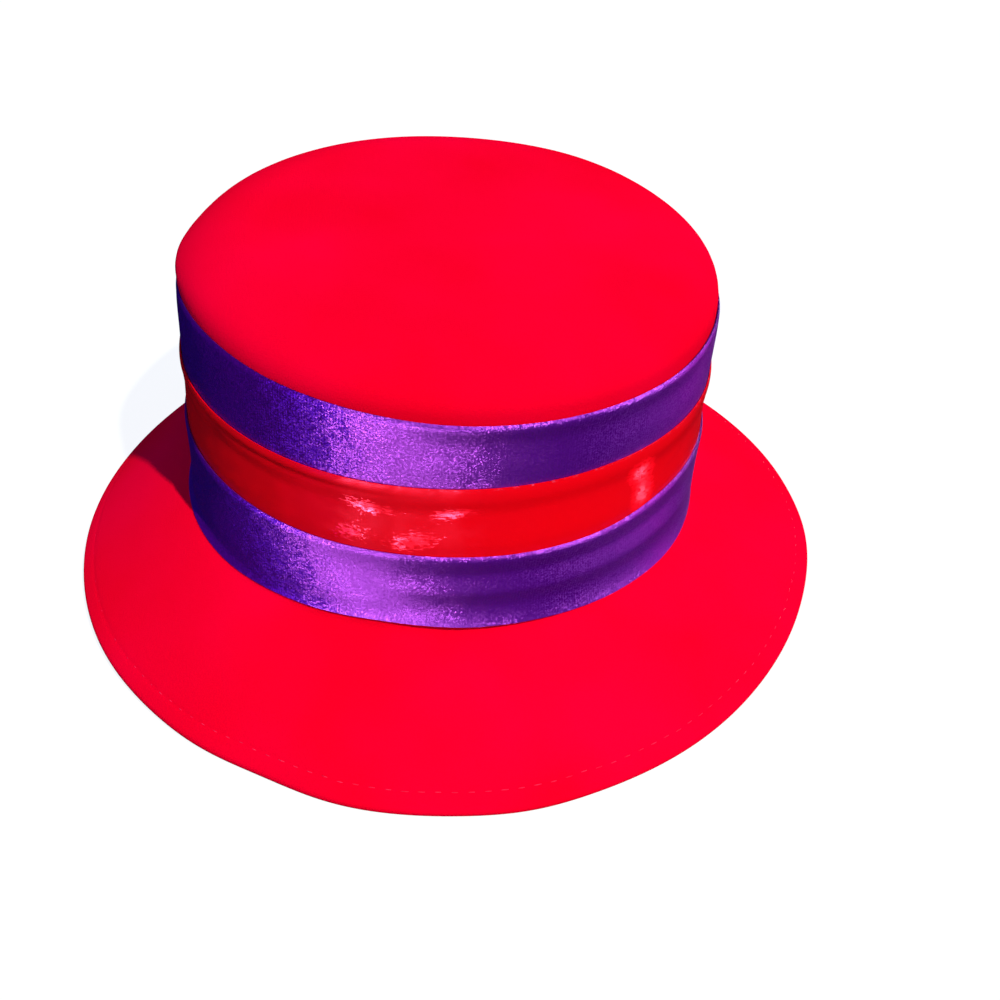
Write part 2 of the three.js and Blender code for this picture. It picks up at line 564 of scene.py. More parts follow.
class SharedGroup:
    """A shader node group that each finish places with its own values."""

    NAME: str
    INPUTS: dict[str, float]
    OUTPUTS: dict[str, str]

    @classmethod
    def fill(cls, bench: NodeBench, given: Sockets, made: Sockets) -> None:
        """Adds the group's nodes.

        Args:
            bench: Works on the group's tree.
            given: The group's inputs.
            made: The group's outputs.
        """
        raise NotImplementedError

    @classmethod
    def tree(cls) -> bpy.types.NodeTree:
        """The group, built at its first use."""
        found = bpy.data.node_groups.get(cls.NAME)
        if found is not None:
            return found
        tree = bpy.data.node_groups.new(cls.NAME, "ShaderNodeTree")
        for label, value in cls.INPUTS.items():
            socket = tree.interface.new_socket(label, in_out="INPUT", socket_type="NodeSocketFloat")
            socket.default_value = value
        for label, kind in cls.OUTPUTS.items():
            tree.interface.new_socket(label, in_out="OUTPUT", socket_type=kind)
        bench = NodeBench(tree)
        cls.fill(bench, bench.add("NodeGroupInput").outputs, bench.add("NodeGroupOutput").inputs)
        return tree

    @classmethod
    def placed(cls, bench: NodeBench, values: dict[str, float]) -> bpy.types.Node:
        """The group as a node with these values."""
        node = bench.add("ShaderNodeGroup", node_tree=cls.tree())
        set_sockets(node, values)
        return node


class DyeGroup(SharedGroup):
    """Shared effect: dye that took unevenly, as soft blotches and as a fine grain."""

    NAME = "uneven_dye"
    INPUTS = {"Blotch Scale": 25.0, "Grain Scale": 1500.0}
    OUTPUTS = {"Blotch": "NodeSocketFloat", "Grain": "NodeSocketFloat"}
    DETAIL = 2.0
    ROUGHNESS = {"Blotch": 0.45, "Grain": 0.6}

    @classmethod
    def fill(cls, bench: NodeBench, given: Sockets, made: Sockets) -> None:
        """Adds one noise for the blotches and one for the grain."""
        place = bench.add("ShaderNodeTexCoord").outputs["Object"]
        for name, roughness in cls.ROUGHNESS.items():
            pattern = bench.noise(place, given[f"{name} Scale"], cls.DETAIL, roughness)
            bench.join(made[name], bench.spread(pattern, *NOISE_RANGE))


class SatinGroup(SharedGroup):
    """Shared effect: a satin weave whose floats turn a little, which breaks up the shine.

    Ribs run across the ribbon, flecks are small cells of the weave that catch the light as one, and
    clouds are wide places where the cloth lies unevenly: these turn the floats along the ribbon. Streaks
    turn them upwards, mostly where the mesh is marked as crumpled. Along the turned top edge a paler
    colour is mixed in dashes, as a painted highlight.
    Turns and rises are in radians.
    """

    NAME = "satin_floats"
    INPUTS = {
        "Lean": 0.0,
        "Skew": 0.0,
        "Top Edge": 29.0 * MM,
        "Edge Gap": 0.35,
        "Rib Pitch": 0.95 * MM,
        "Rib Turn": 0.05,
        "Fleck Length": 0.5 * MM,
        "Fleck Width": 0.4 * MM,
        "Fleck Turn": 0.06,
        "Cloud Length": 6.0 * MM,
        "Cloud Width": 5.0 * MM,
        "Cloud Turn": 0.06,
        "Streak Length": 0.8 * MM,
        "Streak Width": 0.55 * MM,
        "Streak Level": 0.5,
        "Streak Rise": 0.1,
    }
    OUTPUTS = {
        "Normal": "NodeSocketVector",
        "Rib": "NodeSocketFloat",
        "Fleck": "NodeSocketFloat",
        "Edge Highlight": "NodeSocketFloat",
    }
    MIDDLE = RIBBON_WIDTH / 2
    CLOUD_DETAIL = 3.0
    STREAK_LAYER = 9.0
    STREAK_DETAIL = 2.0
    STREAK_ROUGHNESS = 0.6
    STREAK_SHARPNESS = 16.0
    CRUMPLE_SHARE = 0.5
    EDGE_BLUR = 0.4 * MM
    DASH_LENGTH = 2.5 * MM
    DASH_LAYER = 5.0
    DASH_DETAIL = 3.0
    DASH_ROUGHNESS = 0.7
    DASH_SHARPNESS = 8.0

    @classmethod
    def fill(cls, bench: NodeBench, given: Sockets, made: Sockets) -> None:
        """Adds the weave's turns and rises, and the painted highlight on the turned edge."""
        cloth = bench.parted(bench.add("ShaderNodeUVMap", uv_map=UV_NAME).outputs["UV"])
        ribs = bench.math("DIVIDE", cloth["X"], given["Rib Pitch"])
        rib = bench.math("SINE", bench.math("MULTIPLY", ribs, 2 * math.pi))
        fleck = bench.cells(cls.marks(bench, given, cloth, "Fleck"))
        cloud = bench.noise(cls.marks(bench, given, cloth, "Cloud"), 1.0, cls.CLOUD_DETAIL)
        swings = {
            "Rib Turn": rib,
            "Fleck Turn": bench.math("MULTIPLY_ADD", fleck, 2.0, -1.0),
            "Cloud Turn": bench.spread(cloud, *NOISE_RANGE, -1.0, 1.0),
        }
        from_middle = bench.math("SUBTRACT", cloth["Y"], cls.MIDDLE)
        turn = bench.math("MULTIPLY_ADD", from_middle, given["Skew"], given["Lean"])
        for name, swing in swings.items():
            turn = bench.math("MULTIPLY_ADD", swing, given[name], turn)
        tangent = bench.along_cloth()
        upright = bench.add("ShaderNodeNewGeometry").outputs["Normal"]
        turned = bench.vector_math("ADD", upright, bench.scaled(tangent, bench.math("TANGENT", turn)))
        upward = bench.vector_math("CROSS_PRODUCT", upright, tangent)
        turned = bench.vector_math("ADD", turned, bench.scaled(upward, cls.rise(bench, given, cloth)))
        bench.join(made["Normal"], bench.vector_math("NORMALIZE", turned))
        bench.join(made["Rib"], bench.spread(rib, -1.0, 1.0))
        bench.join(made["Fleck"], fleck)
        bench.join(made["Edge Highlight"], cls.edge(bench, given, cloth))

    @staticmethod
    def marks(
        bench: NodeBench, given: Sockets, cloth: Sockets, kind: str, layer: float = 0.0
    ) -> Socket:
        """The cloth's map in lengths and widths of one kind of mark, in a layer of its own."""
        along = bench.math("DIVIDE", cloth["X"], given[f"{kind} Length"])
        across = bench.math("DIVIDE", cloth["Y"], given[f"{kind} Width"])
        return bench.combined(along, across, layer)

    @classmethod
    def rise(cls, bench: NodeBench, given: Sockets, cloth: Sockets) -> Socket:
        """How steeply the streaks turn the floats upwards."""
        place = cls.marks(bench, given, cloth, "Streak", cls.STREAK_LAYER)
        streak = bench.noise(place, 1.0, cls.STREAK_DETAIL, cls.STREAK_ROUGHNESS)
        crumple = bench.attribute(CRUMPLE)
        spread_out = bench.math("MINIMUM", crumple, 1.0)
        crumpled = bench.math("MULTIPLY_ADD", spread_out, cls.CRUMPLE_SHARE, streak)
        past_level = bench.math("SUBTRACT", crumpled, given["Streak Level"])
        gloss = bench.spread(bench.math("MULTIPLY", past_level, cls.STREAK_SHARPNESS), -0.5, 0.5)
        steepest = bench.math("MULTIPLY", given["Streak Rise"], bench.math("MAXIMUM", crumple, 1.0))
        return bench.math("TANGENT", bench.math("MULTIPLY", gloss, steepest))

    @classmethod
    def edge(cls, bench: NodeBench, given: Sockets, cloth: Sockets) -> Socket:
        """1 on the dashes of painted highlight along the turned edge, 0 elsewhere."""
        above = bench.math("SUBTRACT", cloth["Y"], given["Top Edge"])
        on_edge = bench.spread(bench.math("DIVIDE", above, cls.EDGE_BLUR), 0.0, 1.0)
        # painted highlight: shown only where the ribbon is marked as turned, the lit folded span
        highlight_band = bench.math("MULTIPLY", on_edge, bench.attribute(TURNED_EDGE))
        place = bench.combined(cloth["X"], cloth["Y"], cls.DASH_LAYER)
        dash = bench.noise(place, 1 / cls.DASH_LENGTH, cls.DASH_DETAIL, cls.DASH_ROUGHNESS)
        past_gap = bench.math("SUBTRACT", dash, given["Edge Gap"])
        shown = bench.spread(bench.math("MULTIPLY", past_gap, cls.DASH_SHARPNESS), 0.0, 1.0)
        return bench.math("MULTIPLY", highlight_band, shown)


def new_material(name: str) -> tuple[bpy.types.Material, NodeBench, bpy.types.Node]:
    """A material with its bench and its shader node."""
    material = bpy.data.materials.new(name)
    material.use_nodes = True
    return material, NodeBench(material.node_tree), material.node_tree.nodes["Principled BSDF"]


@dataclass(frozen=True)
class FeltFinish:
    """Smooth wool felt with a short nap."""

    deep: Colour = (0.745, 0.0001, 0.0078, 1.0)
    bright: Colour = (0.8, 0.0001, 0.0158, 1.0)
    roughness: float = 0.95
    specular: float = 0.0
    tint: Colour = (1.0, 0.01, 0.03, 1.0)
    sheen: float = 0.05
    sheen_roughness: float = 0.5
    softness: float = 0.1
    blotch_scale: float = 22.0
    nap_scale: float = 1400.0
    nap_height: float = 0.12 * MM
    nap_strength: float = 0.35
    grain_share: float = 0.25
    dye_share: float = 0.8

    def material(self) -> bpy.types.Material:
        """The felt's material."""
        material, bench, shader = new_material("wool_felt")
        scales = {"Blotch Scale": self.blotch_scale, "Grain Scale": self.nap_scale}
        dye = DyeGroup.placed(bench, scales).outputs
        amount = bench.math("MULTIPLY_ADD", dye["Grain"], self.grain_share, dye["Blotch"])
        amount = bench.math("MULTIPLY", amount, self.dye_share)
        bench.join(shader.inputs["Base Color"], bench.mixed(amount, self.deep, self.bright))
        values = {
            "Roughness": self.roughness,
            "Diffuse Roughness": self.softness,
            "Specular IOR Level": self.specular,
            "Specular Tint": self.tint,
            "Sheen Weight": self.sheen,
            "Sheen Roughness": self.sheen_roughness,
            "Sheen Tint": self.tint,
        }
        set_sockets(shader, values)
        bump = bench.add("ShaderNodeBump")
        set_sockets(bump, {"Strength": self.nap_strength, "Distance": self.nap_height})
        bench.join(bump.inputs["Height"], dye["Grain"])
        bench.join(shader.inputs["Normal"], bump.outputs["Normal"])
        return material


@dataclass(frozen=True)
class SatinFinish:
    """Satin ribbon, in one colour, with a painted highlight along its turned top edge."""

    name: str
    slot: Slot
    deep: Colour
    bright: Colour
    # edge is the colour of the painted highlight along the turned top edge
    edge: Colour
    tint: Colour
    ior: float
    specular: float
    roughness: float
    anisotropy: float
    unevenness: float
    floats: tuple[tuple[str, float], ...]
    rib_share: float = 0.5
    shine_turn: float = 0.25  # a quarter turn stretches the shine across the ribbon

    def material(self) -> bpy.types.Material:
        """The ribbon's material."""
        material, bench, shader = new_material(self.name)
        satin = SatinGroup.placed(bench, dict(self.floats)).outputs
        shade = bench.math("MULTIPLY", satin["Fleck"], 1 - self.rib_share)
        shade = bench.math("MULTIPLY_ADD", satin["Rib"], self.rib_share, shade)
        cloth = bench.mixed(shade, self.deep, self.bright)
        # the turned edge's dashes take the painted highlight's colour
        bench.join(shader.inputs["Base Color"], bench.mixed(satin["Edge Highlight"], cloth, self.edge))
        smoothest = self.roughness - self.unevenness / 2
        rough = bench.math("MULTIPLY_ADD", satin["Fleck"], self.unevenness, smoothest)
        bench.join(shader.inputs["Roughness"], rough)
        bench.join(shader.inputs["Normal"], satin["Normal"])
        bench.join(shader.inputs["Tangent"], bench.along_cloth())
        values = {
            "Anisotropic": self.anisotropy,
            "Anisotropic Rotation": self.shine_turn,
            "IOR": self.ior,
            "Specular IOR Level": self.specular,
            "Specular Tint": self.tint,
        }
        set_sockets(shader, values)
        return material


PURPLE_SATIN = SatinFinish(
    name="purple_satin",
    slot=Slot.PURPLE,
    deep=(0.043, 0.0001, 0.08, 1.0),
    bright=(0.063, 0.0001, 0.13, 1.0),
    # painted highlight on the turned top edge, lilac
    edge=(0.32, 0.035, 0.33, 1.0),
    tint=(0.67, 0.12, 1.0, 1.0),
    ior=3.0,
    specular=0.5,
    roughness=0.374,
    anisotropy=0.83,
    unevenness=0.06,
    floats=(
        ("Lean", math.radians(-0.5)),
        ("Rib Turn", math.radians(1.8)),
        ("Fleck Turn", math.radians(7.5)),
        ("Cloud Turn", math.radians(2.5)),
        ("Streak Rise", math.radians(12.0)),
        ("Top Edge", 29.2 * MM),
        ("Edge Gap", 0.4),
    ),
)
LOW_PURPLE_SATIN = replace(
    PURPLE_SATIN,
    name="purple_satin_low",
    floats=(
        *PURPLE_SATIN.floats,
        ("Lean", math.radians(8.5)),
        ("Skew", math.radians(300.0)),
    ),
)

RED_SATIN = SatinFinish(
    name="red_satin",
    slot=Slot.RED,
    deep=(0.93, 0.0001, 0.002, 1.0),
    bright=(0.94, 0.0001, 0.003, 1.0),
    # painted highlight on the turned top edge, in pink dashes
    edge=(0.9, 0.06, 0.09, 1.0),
    tint=(1.0, 0.065, 0.16, 1.0),
    ior=2.4,
    specular=0.5,
    roughness=0.25,
    anisotropy=0.8,
    unevenness=0.0,
    floats=(
        ("Rib Turn", math.radians(0.2)),
        ("Fleck Length", 5.0 * MM),
        ("Fleck Width", 1.2 * MM),
        ("Fleck Turn", 0.0),
        ("Cloud Length", 8.0 * MM),
        ("Cloud Width", 5.0 * MM),
        ("Cloud Turn", math.radians(3.5)),
        ("Streak Length", 2.2 * MM),
        ("Streak Width", 0.55 * MM),
        ("Streak Level", 0.92),
        ("Streak Rise", math.radians(19.0)),
        ("Top Edge", 29.3 * MM),
        ("Edge Gap", 0.55),
    ),
)


@dataclass(frozen=True)
class ThreadFinish:
    """Sewing thread with a slight gloss."""

    colour: Colour = (0.7, 0.002, 0.02, 1.0)
    pale: Colour = (0.86, 0.02, 0.05, 1.0)
    roughness: float = 0.5
    specular: float = 0.3
    tint: Colour = (1.0, 0.3, 0.35, 1.0)
    blotch_scale: float = 300.0
    grain_scale: float = 6000.0

    def material(self) -> bpy.types.Material:
        """The thread's material."""
        material, bench, shader = new_material("hem_thread")
        scales = {"Blotch Scale": self.blotch_scale, "Grain Scale": self.grain_scale}
        dye = DyeGroup.placed(bench, scales).outputs
        bench.join(shader.inputs["Base Color"], bench.mixed(dye["Blotch"], self.colour, self.pale))
        values = {
            "Roughness": self.roughness,
            "Specular IOR Level": self.specular,
            "Specular Tint": self.tint,
        }
        set_sockets(shader, values)
        return material


@dataclass
class FeltBody:
    """Crown and brim in one felt, hollow, with the brim's edge turned under and sewn."""

    block: HatBlock
    finish: FeltFinish
    turns: int = 320
    top_rings: int = 14
    shoulder_steps: int = 18
    wall_steps: int = 14
    root_steps: int = 8
    brim_steps: int = 26
    edge_steps: int = 12
    inner_steps: int = 10
    groove_depth: float = 0.14 * MM
    groove_half: float = 0.9 * MM
    groove_reach: float = 2.0
    groove_lines: int = 9
    merge_gap: float = 0.01 * MM
    # Thicknesses of felt under the brim's upper face, and past the hem's end
    hem_depths: tuple[float, ...] = (2.0, 2.0, 2.0, 1.9)
    raw_edge_depths: tuple[float, ...] = (1.5, 1.0)
    raw_edge_bulge: float = 0.1
    bulges: tuple[Swell, ...] = (
        Swell(-88.0, 14.0, 81.5 * MM, 3.6 * MM, 1.6 * MM),
        Swell(-62.0, 22.0, 86.5 * MM, 5.0 * MM, 1.2 * MM),
    )

    def crown_line(
        self, depth: float, rings: int, shoulder: int, wall: int, root: int
    ) -> list[tuple[float, float]]:
        """One face of the crown, from its middle to the end of the root.

        Args:
            depth: Distance under the outer face.
            rings: Steps across the top.
            shoulder: Steps round the shoulder.
            wall: Steps down the wall.
            root: Steps round the root.

        Returns:
            Rows of out and up.
        """
        block = self.block
        top_out = -block.crown_taper * block.wall_up - block.shoulder_reach
        line = []
        for share in np.linspace(0.0, 1.0, rings + 1):
            out = -block.half_width + (block.half_width + top_out) * share
            line.append((out, block.crown_height + block.dome * (1 - share**2) - depth))
        reach, radius = block.shoulder_reach - depth, block.shoulder - depth
        for turn in np.linspace(math.pi / 2, 0.0, shoulder + 1)[1:]:
            line.append((top_out + reach * math.cos(turn), block.wall_up + radius * math.sin(turn)))
        for up in np.linspace(block.wall_up, 0.0, wall + 1)[1:]:
            line.append((-block.crown_taper * up - depth, up))
        radius = block.root + depth
        for turn in np.linspace(0.0, math.pi / 2 - block.root_slope, root + 1)[1:]:
            line.append((block.root - radius * math.cos(turn), -radius * math.sin(turn)))
        return line

    def brim_runs(self) -> np.ndarray:
        """Distances from the root to the edge, to a micrometre, close together at the stitching."""
        even = np.linspace(0.0, self.block.brim_depth, self.brim_steps + 1)[1:]
        across = np.linspace(-self.groove_reach, self.groove_reach, self.groove_lines)
        close = self.block.stitch_run + across * self.groove_half
        return np.unique(np.concatenate([even, close]).round(6))

    def brim_lines(self) -> list[tuple[float, float]]:
        """The brim from the root over its edge, round the hem and back to the root underneath."""
        block = self.block
        runs = self.brim_runs()
        from_stitch = (runs - block.stitch_run) / self.groove_half
        groove = self.groove_depth * np.exp(-(from_stitch**2))
        line = list(zip(*block.brim_section(runs, groove)))
        edge_out, edge_up = block.brim_section(np.array([block.brim_depth]), block.felt)
        for turn in np.linspace(0.0, math.pi, self.edge_steps + 1)[1:]:
            angle = math.pi / 2 - block.edge_slope - turn
            out = edge_out[0] + block.felt * math.cos(angle)
            line.append((out, edge_up[0] + block.felt * math.sin(angle)))
        hem_runs = block.brim_depth - np.linspace(0.0, block.hem, len(self.hem_depths) + 1)[1:]
        hem_end = block.brim_depth - block.hem - self.raw_edge_bulge * block.felt
        stretches = (
            (hem_runs, self.hem_depths),
            (np.full(len(self.raw_edge_depths), hem_end), self.raw_edge_depths),
            (np.linspace(hem_end, 0.0, self.inner_steps + 1)[1:-1], 1.0),
        )
        for runs, depths in stretches:
            line += zip(*block.brim_section(runs, block.felt * np.array(depths)))
        return line

    def profile(self) -> np.ndarray:
        """The felt's whole outline, from the middle of the top outside to its middle inside."""
        steps = (self.top_rings, self.shoulder_steps, self.wall_steps, self.root_steps)
        outside = self.crown_line(0.0, *steps)
        half = self.inner_steps // 2
        inside = self.crown_line(self.block.felt, self.inner_steps, half, self.inner_steps, half)
        return np.array(outside + self.brim_lines() + inside[::-1])

    def spun(self, profile: np.ndarray) -> bpy.types.Object:
        """Extrudes a point along the profile and spins it round the hat.

        Args:
            profile: Rows of out and up.

        Returns:
            The closed shell, on a round plan.
        """
        radius = np.maximum(profile[:, 0] + self.block.half_width, 0.0)
        points = np.column_stack([radius, np.zeros(len(profile)), profile[:, 1]])
        start_piece()
        bpy.ops.mesh.primitive_plane_add(size=self.block.felt)
        piece = bpy.context.object
        piece.name = piece.data.name = "felt_hat_body"
        with edit_mode():
            bpy.ops.mesh.merge(type="CENTER")
            bpy.ops.transform.translate(value=Vector(points[0]))
            for step in np.diff(points, axis=0):
                bpy.ops.mesh.extrude_region_move(TRANSFORM_OT_translate={"value": Vector(step)})
            bpy.ops.mesh.select_all(action="SELECT")
            bpy.ops.mesh.spin(steps=self.turns, angle=2 * math.pi, center=(0, 0, 0), axis=(0, 0, 1))
            bpy.ops.mesh.select_all(action="SELECT")
            bpy.ops.mesh.remove_doubles(threshold=self.merge_gap)
            bpy.ops.mesh.normals_make_consistent(inside=False)
        return piece

    def build(self) -> bpy.types.Object:
        """The felt body, settled on the block and dressed."""
        piece = self.spun(self.profile())
        points = coordinates(piece)
        out = np.hypot(points[:, 0], points[:, 1]) - self.block.half_width
        angle = np.arctan2(points[:, 1], points[:, 0])
        bulge = swelling(self.bulges, bearing_of(angle), points[:, 2])
        out = out + self.block.off_middle(out) * bulge
        move_vertices(piece, self.block.settle(out, points[:, 2], angle))
        bpy.ops.object.shade_smooth()
        piece.visible_glossy = False
        hand_over(piece, Node.FELT, self.finish.material())
        return piece


@dataclass
class SatinRibbon:
    """One ribbon laid round the crown wall, lapped over itself at the back."""

    block: HatBlock
    node: Node
    finish: SatinFinish
    lower_edge: float
    plain: tuple[Knot, ...]
    folded: tuple[Knot, ...]
    span: Span
    lower_shift: tuple[Knot, ...] = knots((-180.0, 0.0), (180.0, 0.0))
    upper_shift: tuple[Knot, ...] = knots((-180.0, 0.0), (180.0, 0.0))
    ripples: tuple[Ripple, ...] = ()
    crumples: tuple[Ripple, ...] = ()
    seam_bearing: float = 180.0
    width: float = RIBBON_WIDTH
    thickness: float = 0.42 * MM
    lap: float = 14.0 * MM
    lap_run: float = 5.0 * MM
    lap_lift: float = 0.55 * MM
    columns: int = 760
    rows: int = 40
    edge_crowding: float = 0.55
    girth_steps: int = 720
    smooth_angle: float = math.radians(50.0)

    def stand_off(self, share: np.ndarray, bearing: np.ndarray) -> np.ndarray:
        """How far the outer face stands off the felt.

        Args:
            share: Share of the width, from the lower edge.
            bearing: Bearing round the hat.

        Returns:
            The stand-off at each place.
        """
        fold = self.fold(bearing)
        off = smooth_through(self.plain, share) * (1 - fold) + smooth_through(self.folded, share) * fold
        return off + rippling(self.ripples, share, bearing)

    def fold(self, bearing: np.ndarray) -> np.ndarray:
        """How far the ribbon takes its folded cross-section at these bearings, from 0 to 1."""
        span = self.span
        ended = smooth_step(span.full_end, span.end, bearing)
        return smooth_step(span.begin, span.full, bearing) * (1 - ended)

    def crowded(self, even: np.ndarray) -> np.ndarray:
        """Even shares of the width, drawn towards the two edges."""
        return even - self.edge_crowding * np.sin(2 * math.pi * even) / (2 * math.pi)

    def girth(self) -> float:
        """Length of the ribbon once round, without its lap."""
        angle = np.linspace(0.0, 2 * math.pi, self.girth_steps + 1)
        up = np.full_like(angle, self.lower_edge + self.width / 2)
        points = self.block.settle(self.block.wall_out(up) + self.plain[0].value, up, angle)
        return float(np.linalg.norm(np.diff(points, axis=0), axis=1).sum())

    def build(self) -> bpy.types.Object:
        """The ribbon: a flat strip wrapped round the crown and given its thickness."""
        girth = self.girth()
        length = girth + self.lap
        start_piece()
        bpy.ops.mesh.primitive_grid_add(x_subdivisions=self.columns, y_subdivisions=self.rows, size=1.0)
        piece = bpy.context.object
        piece.name = piece.data.name = f"satin_{self.node.value}"
        flat = coordinates(piece)
        along = (flat[:, 0] + 0.5) * length
        share = self.crowded(flat[:, 1] + 0.5)
        self.set_cloth_map(piece, length)

        start = math.radians(self.seam_bearing + FRONT_ANGLE) - 2 * math.pi
        angle = start + 2 * math.pi * (along - self.lap / 2) / girth
        bearing = bearing_of(angle)
        lower = smooth_through(self.lower_shift, bearing)
        upper = smooth_through(self.upper_shift, bearing)
        up = self.lower_edge + self.width * share + lower * (1 - share) + upper * share
        over = smooth_step(girth - self.lap_run, girth, along) * self.lap_lift
        off = self.stand_off(share, bearing) + over
        move_vertices(piece, self.block.settle(self.block.wall_out(up) + off, up, angle))
        # the folded span also bounds the painted edge highlight in the shader
        mark_vertices(piece, TURNED_EDGE, self.fold(bearing))
        mark_vertices(piece, CRUMPLE, rippling(self.crumples, share, bearing))
        if self.faces_inward(piece):
            with edit_mode():
                bpy.ops.mesh.flip_normals()
        solid = piece.modifiers.new("satin_thickness", "SOLIDIFY")
        solid.thickness = self.thickness
        solid.offset = -1.0
        bpy.ops.object.modifier_apply(modifier=solid.name)
        bpy.ops.object.shade_smooth_by_angle(angle=self.smooth_angle)
        hand_over(piece, self.node, self.finish.material())
        return piece

    def set_cloth_map(self, piece: bpy.types.Object, length: float) -> None:
        """Gives the strip a map in metres, along the ribbon and across it."""
        layer = piece.data.uv_layers[UV_NAME]
        cloth = np.empty(len(layer.data) * 2)
        layer.data.foreach_get("uv", cloth)
        cloth = cloth.reshape(-1, 2)
        cloth = np.column_stack([cloth[:, 0] * length, self.crowded(cloth[:, 1]) * self.width])
        layer.data.foreach_set("uv", cloth.astype(np.float32).ravel())

    @staticmethod
    def faces_inward(piece: bpy.types.Object) -> bool:
        """True if the strip's faces point at the hat's middle."""
        face = piece.data.polygons[0]
        return face.normal.x * face.center.x + face.normal.y * face.center.y < 0


@dataclass
class HemStitching:
    """The running stitch that holds the brim's turned edge."""

    block: HatBlock
    finish: ThreadFinish
    pitch: float = 5.2 * MM
    shown: float = 2.1 * MM
    thread: float = 0.28 * MM
    rise: float = 0.13 * MM
    sides: int = 6
    rings: int = 3
    seed: int = 11
    merge_gap: float = 0.001
    end_share: float = 0.55
    unevenness: float = 0.12
    stray: float = 0.12 * MM
    sinking: float = 0.1 * MM
    bed: float = 0.05 * MM
    pulled_in: tuple[Knot, ...] = knots(
        (-180.0, 0.21), (-45.0, 0.21), (-24.0, 0.12), (-4.0, 0.0), (17.0, 0.0),
        (27.0, 0.07), (40.0, 0.05), (58.0, 0.15), (80.0, 0.2), (180.0, 0.21),
    )

    def one_stitch(self) -> tuple[np.ndarray, np.ndarray]:
        """One straight stitch of unit length along X, tapered at its ends; the row arches it into the
        felt.

        Returns:
            Its vertices, with Y and Z in thread radii, and its faces.
        """
        start_piece()
        turned = (0.0, math.pi / 2, 0.0)
        bpy.ops.mesh.primitive_cylinder_add(vertices=self.sides, radius=1.0, depth=1.0, rotation=turned)
        piece = bpy.context.object
        bpy.ops.object.transform_apply(location=True, rotation=True, scale=True)
        with edit_mode():
            for cut in np.linspace(-0.5, 0.5, self.rings + 2)[1:-1]:
                bpy.ops.mesh.select_all(action="SELECT")
                bpy.ops.mesh.bisect(plane_co=(cut, 0, 0), plane_no=(1, 0, 0))
            bpy.ops.mesh.select_all(action="SELECT")
            bpy.ops.mesh.remove_doubles(threshold=self.merge_gap)
            bpy.ops.mesh.quads_convert_to_tris()
        points = coordinates(piece)
        faces = np.array([face.vertices[:] for face in piece.data.polygons])
        bpy.data.objects.remove(piece)
        slim = self.end_share + (1 - self.end_share) * np.cos(math.pi * points[:, 0])
        points[:, 1:] *= slim[:, None]
        return points, faces

    def row(
        self, length: float, shift: float, depth: float, side: float
    ) -> tuple[np.ndarray, np.ndarray]:
        """A row of stitches round the brim.

        Args:
            length: Length of one stitch.
            shift: Where the first stitch sits, in pitches.
            depth: Depth of the face that they lie on, under the brim's upper face.
            side: 1 for stitches that stand up from the brim, -1 for those under it.

        Returns:
            Vertices and faces of the whole row.
        """
        block = self.block
        unit, faces = self.one_stitch()
        run = block.stitch_run
        out, _ = block.brim_section(np.array([run]), depth)
        reach_x = block.half_width + out[0]
        reach_y = block.half_length + out[0] * block.brim_stretch
        count = round(math.pi * (reach_x + reach_y) / self.pitch)
        rng = np.random.default_rng(self.seed)
        points, every = [], []
        for number in range(count):
            angle = 2 * math.pi * (number + shift) / count
            arc = math.hypot(reach_x * math.sin(angle), reach_y * math.cos(angle))
            stretch = length * rng.uniform(1 - self.unevenness, 1 + self.unevenness)
            stray = rng.normal(0.0, self.stray)
            bearing = bearing_of(np.array([angle]))
            sunk = rng.uniform(0.0, self.sinking) + smooth_through(self.pulled_in, bearing)[0]
            above = self.rise * np.cos(math.pi * unit[:, 0]) - sunk + unit[:, 2] * self.thread / 2
            runs = run + stray + unit[:, 1] * self.thread / 2
            places = block.brim_section(runs, depth - side * above)
            points.append(block.settle(*places, angle + unit[:, 0] * stretch / arc))
            every.append(faces + number * len(unit))
        return np.concatenate(points), np.concatenate(every)

    def build(self) -> bpy.types.Object:
        """The stitches above and under the brim, as one piece."""
        upper, upper_faces = self.row(self.shown, 0.0, self.bed, 1.0)
        under, under_faces = self.row(self.pitch - self.shown, 0.5, 2 * self.block.felt, -1.0)
        mesh = bpy.data.meshes.new("hem_stitches")
        points = np.concatenate([upper, under])
        faces = np.concatenate([upper_faces, under_faces[:, ::-1] + len(upper)])
        mesh.from_pydata(points.tolist(), [], faces.tolist())
        piece = bpy.data.objects.new("hem_stitches", mesh)
        bpy.context.scene.collection.objects.link(piece)
        start_piece()
        piece.select_set(True)
        bpy.context.view_layer.objects.active = piece
        with edit_mode():
            bpy.ops.mesh.normals_make_consistent(inside=False)
        bpy.ops.object.shade_smooth()
        hand_over(piece, None, self.finish.material())
        return piece


class Lamp(NamedTuple):
    """A distant light: where it stands, its strength, its width in degrees, and what shows it."""

    name: str
    bearing: float
    height: float
    strength: float
    softness: float
    on_matt: bool = False
    in_gloss: bool = True
    colour: tuple[float, float, float] = (1.0, 1.0, 1.0)


